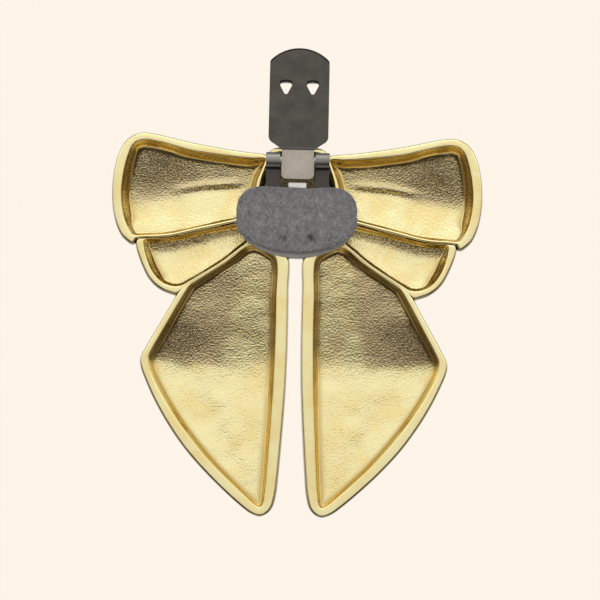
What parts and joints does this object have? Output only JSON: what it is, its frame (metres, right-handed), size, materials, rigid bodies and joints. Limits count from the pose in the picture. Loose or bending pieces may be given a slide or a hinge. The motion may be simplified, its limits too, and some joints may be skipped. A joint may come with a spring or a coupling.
{
  "type": "clip-on metal bow",
  "caption": "Hollow-backed cast metal bow ornament with loops, tails and a centre knot, carried on a hinged toothed spring clip with a felt pad.",
  "frame": {"origin": "middle of the felt pad's gripping face", "axes": "-Y out of the felt's gripping face, +Z towards the open clip's tip, tails along -Z, puffed front of the bow towards +Y"},
  "size_m": [0.0794, 0.0151, 0.1006],
  "materials": {
    "gold_plate": "bright gold-tone plating, grained inside the hollows",
    "nickel_plate": "plain nickel plating",
    "clip_steel": "nickel-plated pressed steel",
    "spring_steel": "bright spring steel",
    "rivet_metal": "plain rivets",
    "felt": "pressed grey felt",
    "adhesive": "cured glue film"
  },
  "bodies": {
    "bow": {"bow_casting": "gold_plate", "mount_plate": "nickel_plate", "plate_adhesive": "adhesive", "clip_base": "clip_steel", "clip_rivets": "rivet_metal", "hinge_pin": "clip_steel", "felt_pad": "felt", "felt_adhesive": "adhesive"},
    "flap": {"clip_flap": "clip_steel"},
    "spring": {"leaf_spring": "spring_steel"}
  },
  "joints": [
    {"name": "flap_hinge", "type": "hinge", "parent": "bow", "child": "flap", "pos_m": [0, 0.0004, 0.0124], "axis": [1, 0, 0], "range_deg": [0, 180]},
    {"name": "leaf_flex", "type": "hinge", "parent": "bow", "child": "spring", "pos_m": [0, 0.00215, -0.002], "axis": [-1, 0, 0], "range_deg": [0, 3], "stiffness_Nm_per_rad": 0.002}
  ]
}
